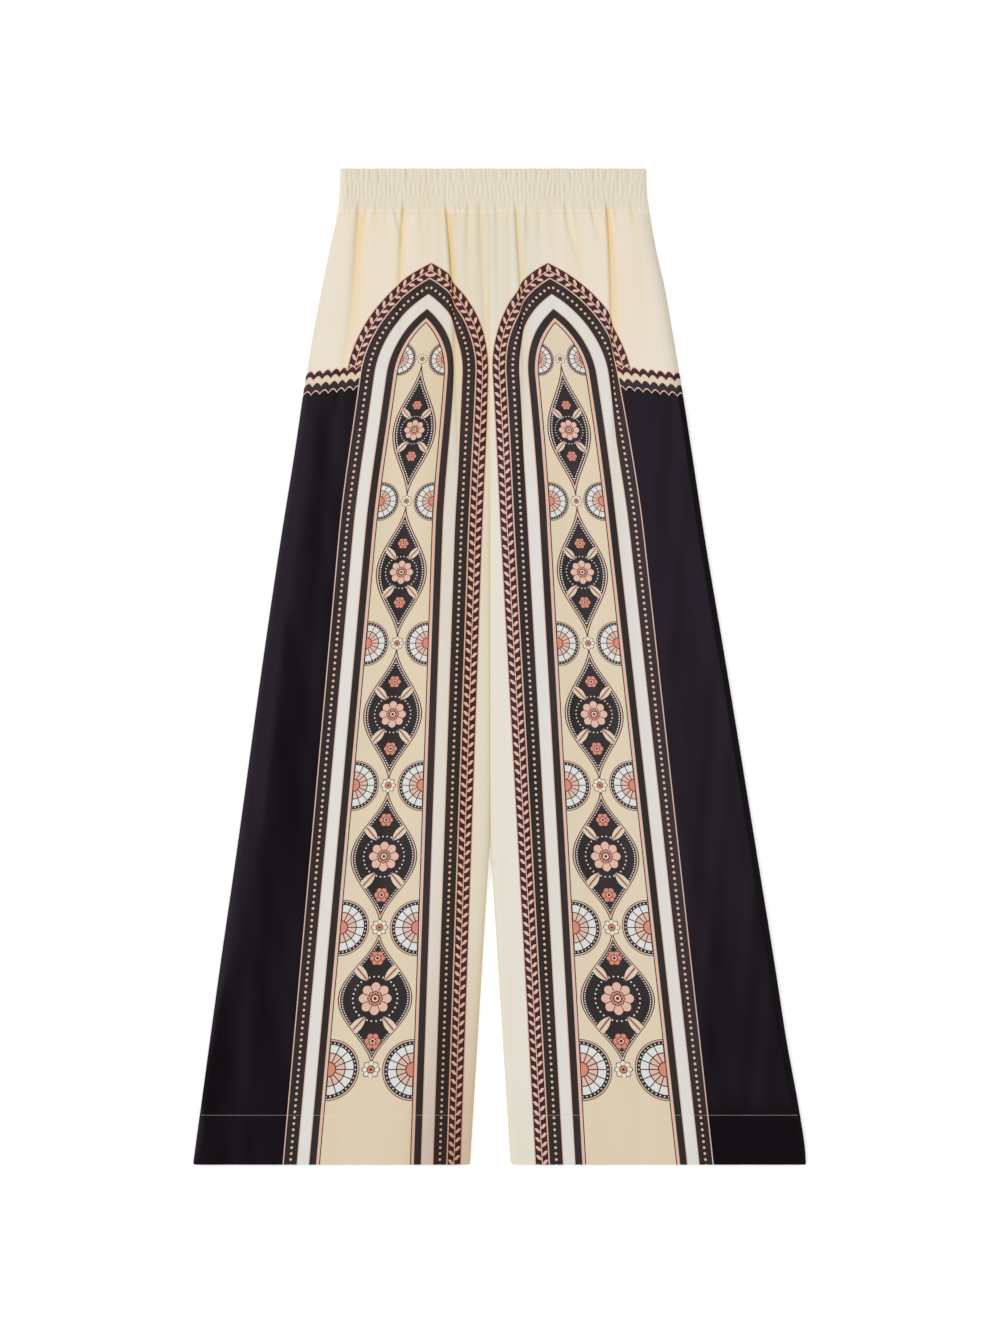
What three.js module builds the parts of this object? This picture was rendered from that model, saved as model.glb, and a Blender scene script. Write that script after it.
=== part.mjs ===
// Wide-leg pull-on trousers with a gathered elastic waist, laid flat on their back.
// Units are millimetres. +X is the wearer's left, +Y runs up to the waist, and +Z is up, away from
// the surface they lie on. The origin is on that surface, under the middle of the outline.
import * as THREE from 'three';

// Driving dimensions
const LENGTH = 1066; // waist edge to hem
const CLOTH = 1.2; // one layer of cloth
const GAP = 0.3; // between pieces, at seams and between layers
const HEM_DEPTH = 53; // turned-up hem
const HEM_EXTRA = 1; // thickness that the turned-up layer adds, pressed flat
const HEM_STEP = 1.5; // over which it starts
const BAND_DEPTH = 49; // waist edge to the lower stitched edge of the casing
const BAND_WALL = 3; // casing with the elastic in it, between the gathers
const BAND_INSET = 1.6; // floor of a gather's valley above the casing's inner face
const BAND_GATHER = 2.8; // height of a gather's crest above that floor
const BAND_ROUND = 6; // the casing's ends round down over this width
const CHANNEL = 16.5; // each of the two elastic channels
const PINCH = 5; // on each side of a stitched row, which holds the gathers down
const PINCHED = 0.45; // share of a gather's height that is left at the row
const CENTRE = -10.2; // the centre seam, beside the middle of the outline
const SPLIT = 717; // from here down the inner edges of the legs part
const CROTCH = 340; // from here down the inner edges are inseams

// The side edges, and how far the left side seam is rolled onto the front.
const OUTLINE = [
  { down: 0, rightSide: -170.7, leftSide: 157, rolled: 0.5 },
  { down: 31, rightSide: -171.7, leftSide: 158.2, rolled: 0.5 },
  { down: 49, rightSide: -174, leftSide: 161, rolled: 0.8 },
  { down: 84, rightSide: -181.5, leftSide: 167, rolled: 2 },
  { down: 128, rightSide: -190.4, leftSide: 177, rolled: 3.7 },
  { down: 173, rightSide: -199, leftSide: 184.9, rolled: 4.2 },
  { down: 237, rightSide: -209.5, leftSide: 195.6, rolled: 3.2 },
  { down: 302, rightSide: -219.1, leftSide: 205.7, rolled: 1.2 },
  { down: 400, rightSide: -234.7, leftSide: 220.5, rolled: 0.5 },
  { down: 500, rightSide: -249.5, leftSide: 237.4, rolled: 0.5 },
  { down: 742, rightSide: -283, leftSide: 277, rolled: 0.5 },
  { down: 856, rightSide: -299.5, leftSide: 295.4, rolled: 0.5 },
  { down: 933, rightSide: -310.1, leftSide: 307.3, rolled: 0.5 },
  { down: 1013, rightSide: -320.9, leftSide: 321.7, rolled: 0.5 },
  { down: LENGTH, rightSide: -328, leftSide: 328, rolled: 0.5 },
];

// The folds that fall from the casing: where each leaves it, how far it drifts sideways for each
// millimetre down, how far down it reaches, and its depth and half width.
const FOLDS = [
  { at: -149, drift: -0.03, reach: 170, depth: 2.4, width: 6 },
  { at: -130, drift: 0, reach: 45, depth: 1.4, width: 4 },
  { at: -106, drift: 0.01, reach: 190, depth: 2.7, width: 5 },
  { at: -87, drift: 0.02, reach: 55, depth: 1.3, width: 4 },
  { at: -56, drift: 0.04, reach: 330, depth: 3.1, width: 5 },
  { at: -35, drift: -0.02, reach: 90, depth: 1.5, width: 4 },
  { at: -20, drift: 0.01, reach: 290, depth: 1.8, width: 5 },
  { at: -5, drift: 0, reach: 110, depth: 1.4, width: 4 },
  { at: 17, drift: 0.03, reach: 300, depth: 2.9, width: 5 },
  { at: 29, drift: 0.02, reach: 40, depth: 1.4, width: 4 },
  { at: 42, drift: 0.03, reach: 60, depth: 1.4, width: 4 },
  { at: 71, drift: 0.18, reach: 80, depth: 1.9, width: 4 },
  { at: 101, drift: 0.12, reach: 40, depth: 1.4, width: 4 },
  { at: 114, drift: 0.04, reach: 340, depth: 3.1, width: 5 },
  { at: 132, drift: 0.08, reach: 55, depth: 1.5, width: 4 },
];

// Long soft swells down each leg: where each lies between the inner and the outer edge, its height
// and its half width as a share of the leg, and the stretch that it runs along.
const SWELLS = [
  { across: 0.16, height: 0.7, width: 0.08, from: 260, to: 980 },
  { across: 0.42, height: -0.6, width: 0.07, from: 220, to: 860 },
  { across: 0.66, height: 0.9, width: 0.09, from: 200, to: 1005 },
  { across: 0.86, height: -0.5, width: 0.05, from: 300, to: 900 },
];

// Heights of the front layer above the lowest that it can lie
const SWELL_END = 120; // over which a swell rises and fades
const LEG_LOFT = 2; // over most of the leg
const BAND_LOFT = 1.5; // more of it at the casing
const BAND_LOFT_FADE = 90;
const EDGE_ROLL = 12; // width of the round at a side seam or inseam
const EASE = 35; // above and below the crotch, where the inseam's round begins
const SMALL_GATHERS = 28; // across both front panels, just below the casing
const SMALL_GATHER_DEPTH = 1.1;
const SMALL_GATHER_FADE = 20;

// The gathers of the front casing: how many there are in each stitched zone, and where it starts.
const ZONES = [
  { from: 0, gathers: 43, uneven: 0.45 },
  { from: CHANNEL, gathers: 62, uneven: 0.3 },
  { from: 2 * CHANNEL, gathers: 31, uneven: 0.5 },
];

// Slow waves across the casing that shift the gathers sideways, and one that varies their height.
const SHIFTS = [
  { waves: 2.7, share: 0.5 },
  { waves: 6.5, share: 0.3 },
];
const HEIGHT_WAVES = 4.6;
const HEIGHT_CHANGE = 0.25;

// Grid lines: rows by their distance down, and numbers of columns across a piece
const FRONT_ROWS = [
  56, 64, 76, 92, 110, 132, 173, 216, 262, 302, 350, 400, 470, 550, 640, SPLIT, 780, 856, 933,
];
const BACK_ROWS = [84, 128, 173, 237, 302, 400, 500, 620, SPLIT, 856, 933];
const BAND_ROWS = [0, 4, 12, CHANNEL, 21, 29, 2 * CHANNEL, 41, BAND_DEPTH];
const FRONT_COLUMNS = 42;
const BACK_COLUMNS = 8;
const BAND_COLUMNS = 186;

const cream = { color: 0xe1d8c3, roughness: 0.55, metalness: 0 };
const printed = { color: 0x2a2529, roughness: 0.5, metalness: 0 };

const mix = THREE.MathUtils.lerp;
const smooth = THREE.MathUtils.smoothstep;
const TURN = 2 * Math.PI;

// A column of the outline table as a smooth function of the distance down
function outlineColumn(name) {
  const downs = OUTLINE.map((row) => row.down);
  const values = OUTLINE.map((row) => row[name]);
  const curve = new THREE.CubicInterpolant(downs, values, 1);
  return (down) => curve.evaluate(down)[0];
}

const rightSide = outlineColumn('rightSide');
const leftSide = outlineColumn('leftSide');
const rolled = outlineColumn('rolled');

// Each leg as seen from the front: its inner and outer edges at a distance down.
const HALF_GAP = GAP / 2;
const LEGS = {
  right: { side: -1, hemInner: -31.6, outer: rightSide, roll: () => 0 },
  left: { side: 1, hemInner: 11.8, outer: leftSide, roll: rolled },
};

function innerEdge(leg, down) {
  const start = CENTRE + leg.side * HALF_GAP;
  const parting = Math.max(0, (down - SPLIT) / (LENGTH - SPLIT));
  return mix(start, leg.hemInner, parting);
}

// A quarter round: 0 at an edge, and 1 from a given width inwards.
function roundIn(distance, width) {
  const t = THREE.MathUtils.clamp(distance / width, 0, 1);
  return Math.sqrt(1 - (1 - t) ** 2);
}

function foldDepth(x, down) {
  let depth = 0;
  for (const fold of FOLDS) {
    const fallen = down - BAND_DEPTH;
    const run = fallen / fold.reach;
    if (run < 1) {
      const off = (x - fold.at - fold.drift * fallen) / (fold.width * (1 + run));
      depth += fold.depth * (1 - run * run) * Math.exp(-off * off);
    }
  }
  return depth;
}

function smallGathers(x, down) {
  const across = (x - rightSide(BAND_DEPTH)) / (leftSide(BAND_DEPTH) - rightSide(BAND_DEPTH));
  const wave = 0.5 - 0.5 * Math.cos(TURN * SMALL_GATHERS * across);
  return SMALL_GATHER_DEPTH * wave * Math.exp(-(down - BAND_DEPTH) / SMALL_GATHER_FADE);
}

function swellHeight(across, down) {
  let height = 0;
  for (const swell of SWELLS) {
    const rise = smooth(down, swell.from, swell.from + SWELL_END);
    const fade = 1 - smooth(down, swell.to - SWELL_END, swell.to);
    height += swell.height * rise * fade * Math.exp(-(((across - swell.across) / swell.width) ** 2));
  }
  return height;
}

// A leg's wall is one layer, and two where the hem is turned up.
const HEM_TOP = LENGTH - HEM_DEPTH;
function turnedUp(down) {
  return THREE.MathUtils.clamp((down - HEM_TOP) / HEM_STEP, 0, 1);
}

function wallAt(down) {
  return CLOTH + HEM_EXTRA * turnedUp(down);
}

// How high the inner face of the front layer lies over the surface
function frontLift(leg, x, down) {
  const inner = innerEdge(leg, down);
  const outer = leg.outer(down) - leg.side * leg.roll(down);
  const across = (x - inner) / (outer - inner);
  const belowCrotch = smooth(down, CROTCH - EASE, CROTCH + EASE);
  const inseam = mix(1, roundIn(Math.abs(x - inner), EDGE_ROLL), belowCrotch);
  const edges = roundIn(Math.abs(x - outer), EDGE_ROLL) * inseam;
  const puff = LEG_LOFT + BAND_LOFT * Math.exp(-(down - BAND_DEPTH) / BAND_LOFT_FADE);
  const shaped = puff - foldDepth(x, down) - smallGathers(x, down) + swellHeight(across, down);
  const lowest = wallAt(down) + GAP;
  return lowest + edges * Math.max(shaped, 0) * (1 - turnedUp(down));
}

// Adds the two triangles of a grid cell, or one side of a rim.
function addQuad(index, a, b, c, d) {
  index.push(a, b, c, a, c, d);
}

// Closes the wall along one side. Both chains run the same way round, seen from above. The lower
// one has as many points as the upper one, or only its two ends.
function closeSide(index, upper, lower) {
  const last = upper.length - 1;
  for (let k = 0; k < last; k++) {
    if (lower.length === upper.length) {
      addQuad(index, upper[k + 1], upper[k], lower[k], lower[k + 1]);
    } else {
      index.push(upper[k + 1], upper[k], lower[0]);
    }
  }
  if (lower.length !== upper.length) {
    index.push(upper[last], lower[0], lower[1]);
  }
}

// A closed wall of cloth. rows lists the distances down, edges gives the two side edges at each, and
// outer and inner give the heights of its two faces. With plain, the inner face is one strip.
function clothWall({ rows, columns, edges, outer, inner, plain = false }) {
  const points = [];
  const lastRow = rows.length - 1;
  const addRow = (down, height) => {
    const [low, high] = edges(down);
    const ids = [];
    for (let c = 0; c <= columns; c++) {
      const x = mix(low, high, c / columns);
      ids.push(points.length / 3);
      points.push(x, LENGTH / 2 - down, height(x, down));
    }
    return ids;
  };
  const upper = rows.map((down) => addRow(down, outer));
  const innerRows = plain ? [rows[0], rows[lastRow]] : rows;
  const lower = innerRows.map((down) => addRow(down, inner));
  const index = [];
  for (let r = 0; r < lastRow; r++) {
    for (let c = 0; c < columns; c++) {
      addQuad(index, upper[r][c], upper[r + 1][c], upper[r + 1][c + 1], upper[r][c + 1]);
    }
  }
  for (let r = 0; r < lower.length - 1; r++) {
    for (let c = 0; c < columns; c++) {
      addQuad(index, lower[r][c], lower[r][c + 1], lower[r + 1][c + 1], lower[r + 1][c]);
    }
  }
  const column = (grid, c) => grid.map((row) => row[c]);
  closeSide(index, column(upper, 0), column(lower, 0));
  closeSide(index, upper[lastRow], lower[lower.length - 1]);
  closeSide(index, column(upper, columns).reverse(), column(lower, columns).reverse());
  closeSide(index, [...upper[0]].reverse(), [...lower[0]].reverse());
  const geometry = new THREE.BufferGeometry();
  geometry.setAttribute('position', new THREE.Float32BufferAttribute(points, 3));
  geometry.setIndex(index);
  geometry.computeVertexNormals();
  return geometry;
}

function piece(name, geometry, finish) {
  const mesh = new THREE.Mesh(geometry, new THREE.MeshStandardMaterial({ name, ...finish }));
  mesh.name = name;
  return mesh;
}

// The rows of a leg panel, from just under the casing to the hem
const PANEL_TOP = BAND_DEPTH + GAP;
const legRows = (between) => [PANEL_TOP, ...between, HEM_TOP, HEM_TOP + HEM_STEP, LENGTH];
const inOrder = (a, b) => (a < b ? [a, b] : [b, a]);

function frontPanel(name, leg) {
  const inner = (x, down) => frontLift(leg, x, down);
  return piece(name, clothWall({
    rows: legRows(FRONT_ROWS),
    columns: FRONT_COLUMNS,
    edges: (down) => inOrder(innerEdge(leg, down), leg.outer(down) - leg.side * leg.roll(down)),
    outer: (x, down) => inner(x, down) + wallAt(down),
    inner,
  }), printed);
}

function backPanel(name, leg) {
  return piece(name, clothWall({
    rows: legRows(BACK_ROWS),
    columns: BACK_COLUMNS,
    edges: (down) => inOrder(innerEdge(leg, down), leg.outer(down)),
    outer: (x, down) => wallAt(down),
    inner: () => 0,
  }), printed);
}

// The height of a gather, from 0 to 1, at a share of the way across the casing
function gatherWave(zone, across) {
  let phase = zone.gathers * across;
  for (const shift of SHIFTS) {
    phase += zone.uneven * shift.share * Math.sin(TURN * shift.waves * across + zone.gathers);
  }
  const height = 1 - HEIGHT_CHANGE * (1 + Math.sin(TURN * HEIGHT_WAVES * across + zone.gathers));
  return height * (0.5 - 0.5 * Math.cos(TURN * phase));
}

// Each stitched row pins the gathers down, and so does the folded top edge.
const STITCHED = [0, CHANNEL, 2 * CHANNEL, BAND_DEPTH];
function pinned(down) {
  const nearest = Math.min(...STITCHED.map((row) => Math.abs(down - row)));
  return mix(PINCHED, 1, smooth(nearest, 0, PINCH));
}

const bandEdges = (down) => [rightSide(down), leftSide(down)];
const BAND_FLOOR = BAND_WALL + GAP;
function bandHeight(x, down) {
  const [low, high] = bandEdges(down);
  const zone = ZONES.findLast((each) => down >= each.from);
  const ends = roundIn(Math.min(x - low, high - x), BAND_ROUND);
  const gather = BAND_GATHER * gatherWave(zone, (x - low) / (high - low)) * pinned(down);
  return BAND_FLOOR + BAND_INSET + gather * ends;
}

const waistbandFront = piece('waistband_front', clothWall({
  rows: BAND_ROWS,
  columns: BAND_COLUMNS,
  edges: bandEdges,
  outer: bandHeight,
  inner: () => BAND_FLOOR,
  plain: true,
}), cream);

const waistbandBack = piece('waistband_back', clothWall({
  rows: STITCHED,
  columns: BACK_COLUMNS,
  edges: bandEdges,
  outer: () => BAND_WALL,
  inner: () => 0,
}), cream);

const legs = new THREE.Group();
legs.add(frontPanel('right_leg_front', LEGS.right));
legs.add(frontPanel('left_leg_front', LEGS.left));
legs.add(backPanel('right_leg_back', LEGS.right));
legs.add(backPanel('left_leg_back', LEGS.left));

const waist = new THREE.Group();
waist.add(waistbandFront, waistbandBack);

const trousers = new THREE.Group();
trousers.add(legs, waist);

export default trousers;
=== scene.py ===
"""Wide-leg silk trousers with a gathered elastic waist, laid flat on their back.

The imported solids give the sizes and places. This file makes the cloth, the print and the sewing.
Shapes are worked out in millimetres: x runs to the wearer's left, and down is the distance from the
waist edge. Meshes are in metres.
"""
import math
from collections import namedtuple

import bpy
import numpy as np
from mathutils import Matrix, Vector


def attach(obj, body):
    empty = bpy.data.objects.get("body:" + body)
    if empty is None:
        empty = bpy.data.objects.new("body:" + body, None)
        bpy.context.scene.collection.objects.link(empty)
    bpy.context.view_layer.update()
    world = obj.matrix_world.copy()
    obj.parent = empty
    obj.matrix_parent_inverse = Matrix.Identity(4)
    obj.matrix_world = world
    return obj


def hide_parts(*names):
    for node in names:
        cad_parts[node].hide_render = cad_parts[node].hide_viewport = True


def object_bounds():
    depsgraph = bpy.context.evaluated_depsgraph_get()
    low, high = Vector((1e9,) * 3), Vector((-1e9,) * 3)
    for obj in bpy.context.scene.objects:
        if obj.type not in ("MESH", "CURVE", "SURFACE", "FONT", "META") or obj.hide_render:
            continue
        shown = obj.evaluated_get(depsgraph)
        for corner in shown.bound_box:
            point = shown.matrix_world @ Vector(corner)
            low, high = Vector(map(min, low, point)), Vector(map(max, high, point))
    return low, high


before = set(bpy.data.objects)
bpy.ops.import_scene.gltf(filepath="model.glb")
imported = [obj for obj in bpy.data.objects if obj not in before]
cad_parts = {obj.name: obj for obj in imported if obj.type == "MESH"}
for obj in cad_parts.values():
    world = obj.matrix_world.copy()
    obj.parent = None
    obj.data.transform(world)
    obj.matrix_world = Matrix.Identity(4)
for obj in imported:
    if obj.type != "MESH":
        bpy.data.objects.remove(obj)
CAD_BOX = [list(corner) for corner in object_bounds()]

bl_info = {
    "name": "Wide-leg silk trousers",
    "version": (1, 0, 0),
    "blender": (4, 5, 0),
    "location": "3D View > Sidebar > Trousers",
    "description": "Makes printed silk trousers with a gathered waist, laid flat",
    "category": "Object",
}

MM = 0.001
BODY = "root"

# The cut, in millimetres
LENGTH = (CAD_BOX[1][1] - CAD_BOX[0][1]) / MM
BAND_DEPTH = 49.0
CHANNEL = 16.5
LOWER_ROW = 2 * CHANNEL
SEAM = 0.04
HEM_ROW = LENGTH - 53.0
SPLIT = 717.0
CROTCH = 340.0
CENTRE = -10.2

Edge = namedtuple("Edge", "down right_side left_side rolled")
OUTLINE = [
    Edge(0, -170.7, 157.0, 0.5),
    Edge(31, -171.7, 158.2, 0.5),
    Edge(49, -174.0, 161.0, 0.8),
    Edge(84, -181.5, 167.0, 2.0),
    Edge(128, -190.4, 177.0, 3.7),
    Edge(173, -199.0, 184.9, 4.2),
    Edge(237, -209.5, 195.6, 3.2),
    Edge(302, -219.1, 205.7, 1.2),
    Edge(400, -234.7, 220.5, 0.5),
    Edge(500, -249.5, 237.4, 0.5),
    Edge(742, -283.0, 277.0, 0.5),
    Edge(856, -299.5, 295.4, 0.5),
    Edge(933, -310.1, 307.3, 0.5),
    Edge(1013, -320.9, 321.7, 0.5),
    Edge(1055, -326.6, 327.5, 0.5),
    Edge(1066, -328.0, 328.0, 0.5),
]

# side is -1 for the wearer's right leg. The axis of its print runs from axis_top, 100 mm down, to
# axis_hem at the hem, and the last two values are the rounding of the hem's corners.
Leg = namedtuple("Leg", "name side hem_inner axis_top axis_hem inner_corner outer_corner")
RIGHT = Leg("right_leg", -1, -31.6, -84.5, -144.0, 1.6, 2.0)
LEFT = Leg("left_leg", 1, 11.8, 61.0, 141.0, 4.0, 1.2)
AXIS_TOP = 100.0

BACK_LIFT = 0.8  # how far the back's edges round up from the surface
CASING_LIFT = 2.0  # and how much further beside the casing, which holds the elastic
INSEAM_ROUND = 0.5  # how far the inseams round off above the split, as a share of further down
ROLL_SHOWS = (0.6, 1.6)  # width of the rolled strip where its seam starts to show, and shows in full

# Height of the front cloth's outer side over the surface, down the trousers
Level = namedtuple("Level", "down height")
FRONT_LEVELS = [
    Level(0, 4.7),
    Level(1.5, 6.6),
    Level(4, 7.7),
    Level(8, 8.1),
    Level(13, 7.8),
    Level(16.5, 7.5),
    Level(20, 7.8),
    Level(25, 8.0),
    Level(30, 7.7),
    Level(33, 7.5),
    Level(38, 7.9),
    Level(49, 8.2),
    Level(62, 8.3),
    Level(100, 7.4),
    Level(180, 6.2),
    Level(300, 5.4),
    Level(980, 5.2),
    Level(1040, 4.6),
    Level(1066, 3.9),
]

# The main folds: where each crosses the casing's lower row, its drift and bend further down, where
# it starts and how far it reaches, its depth, the width of its steep left wall and of its gentle
# right one, the cloth that it hides and how warm its shade is.
Fold = namedtuple("Fold", "at drift bend start reach depth wall slope hides shade")
FRONT_FOLDS = [
    Fold(-151.5, -0.06, -0.00022, 34, 250, 3.4, 2.2, 6.5, 4.0, 0.75),
    Fold(-144.0, -0.35, 0.0, 34, 30, 1.6, 1.5, 2.0, 0.5, 0.35),
    Fold(-132.5, -0.05, 0.0, 33, 34, 1.5, 1.3, 2.0, 0.5, 0.35),
    Fold(-112.0, 0.32, -0.0035, 36, 60, 2.2, 1.4, 2.5, 1.0, 0.35),
    Fold(-104.0, -0.06, 0.0004, 33, 170, 2.8, 1.4, 4.5, 3.0, 0.8),
    Fold(-83.0, 0.05, 0.0, 40, 60, 0.9, 2.0, 3.0, 0.5, 0.1),
    Fold(-57.0, 0.075, -0.0001, 33, 340, 3.6, 1.1, 5.0, 8.0, 1.0),
    Fold(-45.5, 0.0, 0.0, 33, 60, 1.6, 1.5, 2.5, 0.5, 0.2),
    Fold(-34.5, 0.0, 0.0, 33, 95, 2.2, 1.6, 3.0, 1.0, 0.4),
    Fold(-20.5, 0.03, 0.0, 30, 300, 2.4, 2.2, 4.0, 2.0, 0.4),
    Fold(-4.0, 0.03, 0.0, 33, 190, 2.0, 1.8, 3.0, 1.5, 0.35),
    Fold(17.5, 0.06, -0.0001, 33, 340, 3.4, 1.2, 5.0, 6.0, 0.95),
    Fold(29.5, 0.0, 0.0, 33, 90, 2.4, 1.4, 3.0, 1.0, 0.5),
    Fold(42.0, 0.05, 0.0, 36, 85, 1.6, 2.0, 4.0, 0.5, 0.25),
    Fold(70.5, 0.12, 0.0028, 33, 85, 2.6, 1.3, 3.0, 1.0, 0.4),
    Fold(99.5, 0.22, 0.002, 33, 55, 2.4, 1.3, 2.5, 1.0, 0.4),
    Fold(114.0, 0.065, -0.00012, 31, 360, 3.6, 1.1, 5.0, 8.0, 0.9),
    Fold(124.5, 0.15, 0.0, 33, 45, 1.8, 1.3, 2.5, 0.5, 0.35),
    Fold(143.0, 0.2, 0.0, 33, 40, 1.6, 1.5, 2.5, 0.5, 0.3),
]
BACK_FOLDS = [
    Fold(-140.0, -0.08, 0.0, 34, 210, 1.3, 3.0, 4.0, 1.0, 0.4),
    Fold(-97.0, 0.02, 0.0, 34, 160, 1.5, 2.0, 4.0, 1.0, 0.5),
    Fold(-61.0, 0.03, 0.0, 34, 300, 1.8, 2.0, 5.0, 1.0, 0.6),
    Fold(-28.0, 0.0, 0.0, 34, 110, 1.2, 2.0, 3.0, 1.0, 0.4),
    Fold(9.0, 0.02, 0.0, 34, 240, 1.8, 2.0, 5.0, 1.0, 0.6),
    Fold(47.0, 0.06, 0.0, 34, 90, 1.2, 2.0, 3.0, 1.0, 0.4),
    Fold(88.0, 0.08, 0.0, 34, 290, 1.8, 2.0, 5.0, 1.0, 0.6),
    Fold(128.0, 0.12, 0.0, 34, 150, 1.4, 2.0, 4.0, 1.0, 0.4),
]

# A fold's trough as a share of its depth, and the low lip along its steep wall: its height as a share
# of the trough, and its place and width as shares of the wall's width
TROUGH = 0.58
LIP_HEIGHT = 0.22
LIP_AT = 2.6
LIP_WIDTH = 2.2

# Long soft swells down a leg, placed by their share of the way from its inner to its outer edge
Swell = namedtuple("Swell", "across height width start end")
RIGHT_SWELLS = [
    Swell(0.16, 0.8, 0.07, 250, 990),
    Swell(0.42, -0.7, 0.06, 220, 870),
    Swell(0.60, 0.6, 0.05, 200, 1000),
    Swell(0.74, -0.3, 0.08, 180, 1000),
    Swell(0.90, 0.3, 0.07, 160, 960),
]
LEFT_SWELLS = [
    Swell(0.12, 0.7, 0.05, 260, 900),
    Swell(0.37, -0.6, 0.06, 220, 980),
    Swell(0.55, 0.8, 0.05, 200, 860),
    Swell(0.64, -0.8, 0.04, 240, 1030),
    Swell(0.80, 0.4, 0.10, 200, 1000),
]

# Small ripples all over: the length of each wave across and down, its height and where it starts
Ripple = namedtuple("Ripple", "across down height start")
RIPPLES = [
    Ripple(37, 410, 0.08, 0.4),
    Ripple(61, -530, 0.14, 2.1),
    Ripple(23, 290, 0.04, 4.0),
    Ripple(-47, 170, 0.06, 1.3),
    Ripple(83, 95, 0.06, 5.2),
    Ripple(29, -120, 0.03, 3.3),
]

# How brightly the silk shines down the trousers: along the wearer's right side seam, on the dark
# panel beside it, and on the left dark panel
Sheen = namedtuple("Sheen", "down right_edge right_panel left_panel")
SHEENS = [
    Sheen(49, 0.6, 0.6, 0.8),
    Sheen(250, 0.9, 0.6, 0.95),
    Sheen(420, 0.95, 0.47, 0.95),
    Sheen(505, 0.95, 0.39, 0.9),
    Sheen(590, 0.95, 0.25, 0.8),
    Sheen(760, 0.9, 0.2, 0.68),
    Sheen(850, 0.4, 0.32, 0.48),
    Sheen(890, 0.1, 0.3, 0.4),
    Sheen(930, 0.0, 0.28, 0.32),
    Sheen(1008, 0.0, 0.22, 0.18),
    Sheen(1018, 0.1, 0.2, 0.0),
    Sheen(1066, 0.1, 0.2, 0.0),
]

# How far the inside of each leg lies in the shade, down the trousers, how warm that shade is on the
# right leg, and how wide it is
Dusk = namedtuple("Dusk", "down right left warm")
DUSKS = [
    Dusk(49, 0.12, 0.12, 0.16),
    Dusk(110, 0.12, 0.12, 0.16),
    Dusk(205, 0.15, 0.04, 0.2),
    Dusk(650, 0.18, 0.0, 0.2),
    Dusk(826, 0.25, 0.0, 0.2),
    Dusk(954, 0.66, 0.0, 0.17),
    Dusk(1051, 1.0, 0.02, 0.12),
    Dusk(1066, 1.0, 0.02, 0.12),
]
DUSK_WIDTH = 40.0

# The shade along a leg's outer edge: its depth, how wide it is in full and where it ends
Rim = namedtuple("Rim", "depth full ends")
RIGHT_RIM = Rim(0.4, 3, 8)
LEFT_RIM = Rim(0.42, 6, 18)

CENTRE_WARMTH = 0.22  # how warm the shade is along the centre seam
CENTRE_WIDTH = 2.8

# The grooves that the rows of stitches press into the cloth
Groove = namedtuple("Groove", "row depth width")
FRONT_GROOVES = [
    Groove(BAND_DEPTH, 0.25, 0.8),
    Groove(HEM_ROW, 0.3, 1.0),
]
BACK_GROOVES = [
    Groove(BAND_DEPTH, 0.5, 1.1),
    Groove(HEM_ROW, 0.45, 1.0),
    Groove(CHANNEL, 0.4, 1.0),
    Groove(LOWER_ROW, 0.4, 1.0),
]

# How finely each mesh is divided
BAND_COLUMNS = 800
BACK_BAND_COLUMNS = 600
FRONT_COLUMNS = 290
BACK_COLUMNS = 90
EDGE_PINCH = 0.44  # how much closer the columns of a plain grid lie near its edges
FOLD_PINCH = 0.5  # and those of a front leg at its long folds


def linear(red, green, blue):
    """A colour as a screen shows it, from 0 to 255, as the light that it stands for."""
    values = [channel / 255 for channel in (red, green, blue)]
    return [c / 12.92 if c <= 0.04045 else ((c + 0.055) / 1.055) ** 2.4 for c in values]


def shade(name, description, red, green, blue):
    return bpy.props.FloatVectorProperty(
        name=name,
        description=description,
        subtype="COLOR",
        size=3,
        min=0.0,
        max=1.0,
        default=linear(red, green, blue),
    )


def distance(name, description, millimetres):
    return bpy.props.FloatProperty(
        name=name,
        description=description,
        default=millimetres * MM,
        min=0.0,
        precision=5,
        unit="LENGTH",
        subtype="DISTANCE",
    )


def share(name, description, default):
    return bpy.props.FloatProperty(
        name=name, description=description, default=default, min=0.0, max=4.0, subtype="FACTOR"
    )


class TrousersSizes(bpy.types.PropertyGroup):
    """Sizes of the cloth and the sewing."""

    cloth: distance("Cloth", "Thickness of one layer of silk", 0.6)
    hem_cloth: distance("Hem", "Thickness of the turned-up hem", 1.1)
    roll: distance("Side roll", "Width of the round at the side seams and inseams", 8.0)
    fold_depth: share("Folds", "Depth of the folds below the waist, as a share of the laid ones", 1.0)
    gather_depth: share("Gathers", "Depth of the waist's gathers, as a share of the laid ones", 1.0)
    stitch: distance("Stitch", "Length of one stitch and its gap", 2.4)
    thread: distance("Hem thread", "Thickness of the thread of the hems", 0.32)
    waist_thread: distance("Waist thread", "Thickness of the thread of the casing's rows", 0.26)


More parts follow.
